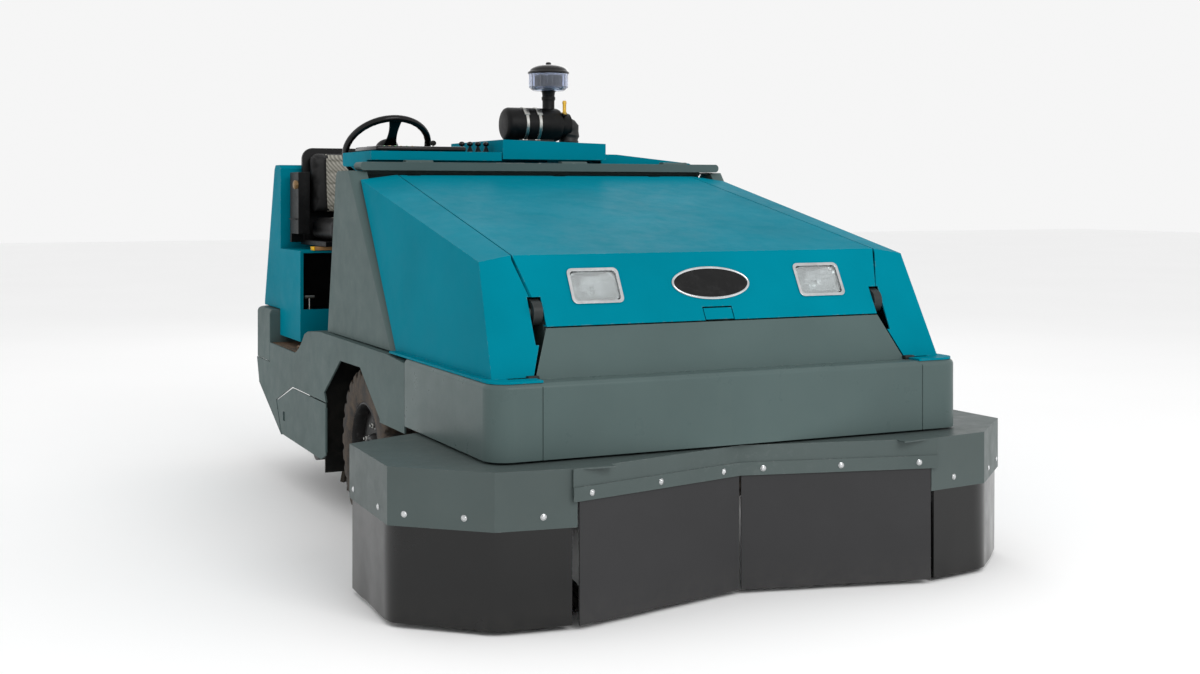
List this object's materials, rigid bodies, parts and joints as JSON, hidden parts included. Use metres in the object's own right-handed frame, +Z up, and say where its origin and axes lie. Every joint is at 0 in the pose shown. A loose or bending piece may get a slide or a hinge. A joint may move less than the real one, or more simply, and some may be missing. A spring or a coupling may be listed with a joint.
{
  "type": "ride-on sweeper",
  "caption": "Ride-on industrial floor sweeper with a high-dump front hopper, side brushes under rubber-skirted covers, a main brush, steering wheel, seat and air cleaner.",
  "frame": {"origin": "on the floor under the centre of the machine's outer box", "axes": "+Z up, the machine's front faces -Y, +X is the machine's left side"},
  "size_m": [1.9282, 2.774, 1.604],
  "materials": {
    "teal_paint": "smooth gloss enamel",
    "grey_paint": "smooth semi-gloss enamel",
    "frame_paint": "black semi-gloss enamel",
    "grit_floor": "coarse anti-slip grit coating",
    "cast": "painted casting",
    "core": "mill finish",
    "steel": "bright steel",
    "chrome": "bright plating",
    "black_plastic": "fine-grained moulding",
    "gloss_black": "smooth gloss moulding",
    "clear": "clear moulding",
    "lamp_glass": "fluted glass",
    "rubber": "smooth black sheet",
    "tyre": "solid rubber with tread",
    "vinyl": "grained vinyl",
    "paper": "pleated filter paper",
    "bristle": "dense synthetic bristle"
  },
  "bodies": {
    "chassis": {"main_frame": "frame_paint", "side_panels": "grey_paint", "rear_bumper": "grey_paint", "pillars": "grey_paint", "bulkhead": "grey_paint", "step_floor": "grit_floor", "rear_housing": "teal_paint", "left_cover": "teal_paint", "console_shell": "teal_paint", "console_top": "black_plastic", "steering_column": "frame_paint", "engine": "cast", "radiator": "core", "tanks": "black_plastic", "air_cleaner": "black_plastic", "precleaner_bowl": "clear", "precleaner_cap": "gloss_black", "brush_hood": "frame_paint", "skirt_covers": "grey_paint", "pod_skirts": "rubber", "front_flaps": "rubber", "skirt_bolts": "chrome"},
    "seat": {"seat_shell": "black_plastic", "seat_cushion": "vinyl", "seat_back": "vinyl"},
    "engine_cover": {"engine_cover": "teal_paint"},
    "hopper_arms": {"lift_arms": "grey_paint"},
    "hopper": {"hopper_bin": "grey_paint", "hopper_bumper": "grey_paint", "hopper_sides": "teal_paint", "dust_filter": "paper"},
    "hopper_lid": {"hopper_lid": "teal_paint", "headlight_rims": "chrome", "headlight_lenses": "lamp_glass", "lid_badge": "gloss_black"},
    "lid_latch": {"lid_latch": "teal_paint"},
    "lift_barrels": {"lift_barrels": "frame_paint"},
    "lift_rods": {"lift_rods": "chrome"},
    "front_wheel_left": {"front_wheel_left": "tyre"},
    "front_wheel_right": {"front_wheel_right": "tyre"},
    "steer_yoke": {"steer_yoke": "frame_paint"},
    "rear_wheel": {"rear_wheel": "tyre"},
    "steering_wheel": {"steering_wheel": "gloss_black"},
    "horn_button": {"horn_button": "black_plastic"},
    "ignition_key": {"ignition_key": "steel"},
    "direction_pedal": {"direction_pedal": "frame_paint"},
    "brake_pedal": {"brake_pedal": "frame_paint"},
    "parking_lever": {"parking_lever": "frame_paint"},
    "main_brush_arm": {"main_brush_arm": "frame_paint"},
    "main_brush": {"main_brush": "bristle"},
    "side_brush_arm_left": {"side_brush_arm_left": "frame_paint"},
    "side_brush_arm_right": {"side_brush_arm_right": "frame_paint"},
    "side_brush_left": {"side_brush_left": "bristle"},
    "side_brush_right": {"side_brush_right": "bristle"},
    "brush_door_left": {"brush_door_left": "grey_paint"},
    "brush_door_right": {"brush_door_right": "grey_paint"},
    "control_lever_1": {"control_lever_1": "rubber"},
    "control_lever_2": {"control_lever_2": "rubber"},
    "control_lever_3": {"control_lever_3": "rubber"},
    "control_lever_4": {"control_lever_4": "rubber"}
  },
  "joints": [
    {"name": "hopper_lift", "type": "hinge", "parent": "chassis", "child": "hopper_arms", "pos_m": [0, 0.082, 1.05], "axis": [-1, 0, 0], "range_deg": [0, 52]},
    {"name": "hopper_rollout", "type": "hinge", "parent": "hopper_arms", "child": "hopper", "pos_m": [0, -1.09, 0.77], "axis": [-1, 0, 0], "range_deg": [-21, 0]},
    {"name": "hopper_lid_hinge", "type": "hinge", "parent": "hopper", "child": "hopper_lid", "pos_m": [0, 0.046, 1.136], "axis": [-1, 0, 0], "range_deg": [0, 55]},
    {"name": "lid_latch_pull", "type": "hinge", "parent": "hopper_lid", "child": "lid_latch", "pos_m": [0, -1.117, 0.765], "axis": [-1, 0, 0], "range_deg": [0, 25], "stiffness_Nm_per_rad": 0.05},
    {"name": "lift_barrel_swing", "type": "hinge", "parent": "chassis", "child": "lift_barrels", "pos_m": [0, 0.042, 0.64], "axis": [-1, 0, 0], "range_deg": [0, 32]},
    {"name": "lift_rod_slide", "type": "slide", "parent": "lift_barrels", "child": "lift_rods", "axis": [0, -0.8353, 0.5499], "range_m": [0, 0.27]},
    {"name": "front_wheel_left_spin", "type": "hinge", "parent": "chassis", "child": "front_wheel_left", "pos_m": [0.613, -0.055, 0.262], "axis": [1, 0, 0], "continuous": true},
    {"name": "front_wheel_right_spin", "type": "hinge", "parent": "chassis", "child": "front_wheel_right", "pos_m": [-0.613, -0.055, 0.262], "axis": [1, 0, 0], "continuous": true},
    {"name": "rear_steer", "type": "hinge", "parent": "chassis", "child": "steer_yoke", "pos_m": [0, 1.032, 0.49], "axis": [0, 0, 1], "range_deg": [-70, 70]},
    {"name": "rear_wheel_spin", "type": "hinge", "parent": "steer_yoke", "child": "rear_wheel", "pos_m": [0, 1.032, 0.23], "axis": [1, 0, 0], "continuous": true},
    {"name": "steering_wheel_turn", "type": "hinge", "parent": "chassis", "child": "steering_wheel", "pos_m": [-0.438, 0.532, 1.248], "axis": [0, 0.6947, 0.7193], "range_deg": [-540, 540]},
    {"name": "horn_press", "type": "slide", "parent": "steering_wheel", "child": "horn_button", "axis": [0, -0.6947, -0.7193], "range_m": [0, 0.0018], "stiffness_N_per_m": 1500},
    {"name": "ignition_turn", "type": "hinge", "parent": "chassis", "child": "ignition_key", "pos_m": [-0.33, 0.332, 1.24], "axis": [0, 0, -1], "range_deg": [0, 80]},
    {"name": "direction_pedal_rock", "type": "hinge", "parent": "chassis", "child": "direction_pedal", "pos_m": [-0.46, 0.392, 0.56], "axis": [1, 0, 0], "range_deg": [-10, 10], "stiffness_Nm_per_rad": 20},
    {"name": "brake_pedal_press", "type": "hinge", "parent": "chassis", "child": "brake_pedal", "pos_m": [-0.56, 0.326, 0.78], "axis": [-1, 0, 0], "range_deg": [0, 18], "stiffness_Nm_per_rad": 30},
    {"name": "parking_brake_pull", "type": "hinge", "parent": "chassis", "child": "parking_lever", "pos_m": [-0.105, 0.612, 0.57], "axis": [-1, 0, 0], "range_deg": [0, 35]},
    {"name": "control_lever_1_tilt", "type": "hinge", "parent": "chassis", "child": "control_lever_1", "pos_m": [-0.266, 0.212, 1.226], "axis": [1, 0, 0], "range_deg": [-12, 12], "stiffness_Nm_per_rad": 4},
    {"name": "control_lever_2_tilt", "type": "hinge", "parent": "chassis", "child": "control_lever_2", "pos_m": [-0.236, 0.212, 1.226], "axis": [1, 0, 0], "range_deg": [-12, 12], "stiffness_Nm_per_rad": 4},
    {"name": "control_lever_3_tilt", "type": "hinge", "parent": "chassis", "child": "control_lever_3", "pos_m": [-0.206, 0.212, 1.226], "axis": [1, 0, 0], "range_deg": [-12, 12], "stiffness_Nm_per_rad": 4},
    {"name": "control_lever_4_tilt", "type": "hinge", "parent": "chassis", "child": "control_lever_4", "pos_m": [-0.176, 0.212, 1.226], "axis": [1, 0, 0], "range_deg": [-12, 12], "stiffness_Nm_per_rad": 4},
    {"name": "seat_slide", "type": "slide", "parent": "chassis", "child": "seat", "axis": [0, 1, 0], "range_m": [-0.08, 0.012]},
    {"name": "engine_cover_hinge", "type": "hinge", "parent": "chassis", "child": "engine_cover", "pos_m": [0.042, 0.636, 1.21], "axis": [-1, 0, 0], "range_deg": [0, 24]},
    {"name": "main_brush_lift", "type": "hinge", "parent": "chassis", "child": "main_brush_arm", "pos_m": [0, 0.758, 0.33], "axis": [-1, 0, 0], "range_deg": [0, 7]},
    {"name": "main_brush_spin", "type": "hinge", "parent": "main_brush_arm", "child": "main_brush", "pos_m": [0, 0.532, 0.181], "axis": [1, 0, 0], "continuous": true},
    {"name": "side_brush_lift_left", "type": "hinge", "parent": "chassis", "child": "side_brush_arm_left", "pos_m": [0.6, -0.668, 0.304], "axis": [-1, 0, 0], "range_deg": [0, 4.5]},
    {"name": "side_brush_spin_left", "type": "hinge", "parent": "side_brush_arm_left", "child": "side_brush_left", "pos_m": [0.64, -1.033, 0.16], "axis": [0, 0, 1], "continuous": true},
    {"name": "brush_door_left_hinge", "type": "hinge", "parent": "chassis", "child": "brush_door_left", "pos_m": [0.726, 0.298, 0.28], "axis": [0, 0, -1], "range_deg": [0, 95]},
    {"name": "side_brush_lift_right", "type": "hinge", "parent": "chassis", "child": "side_brush_arm_right", "pos_m": [-0.6, -0.668, 0.304], "axis": [-1, 0, 0], "range_deg": [0, 4.5]},
    {"name": "side_brush_spin_right", "type": "hinge", "parent": "side_brush_arm_right", "child": "side_brush_right", "pos_m": [-0.64, -1.033, 0.16], "axis": [0, 0, 1], "continuous": true},
    {"name": "brush_door_right_hinge", "type": "hinge", "parent": "chassis", "child": "brush_door_right", "pos_m": [-0.726, 0.298, 0.28], "axis": [0, 0, 1], "range_deg": [0, 95]}
  ],
  "couplings": [
    {"joint": "hopper_rollout", "follows": "hopper_lift", "ratio": -0.4},
    {"joint": "lift_barrel_swing", "follows": "hopper_lift", "ratio": 0.5976},
    {"joint": "lift_rod_slide", "follows": "hopper_lift", "m_per_rad": 0.291},
    {"joint": "steering_wheel_turn", "follows": "rear_steer", "ratio": -7.7142}
  ]
}
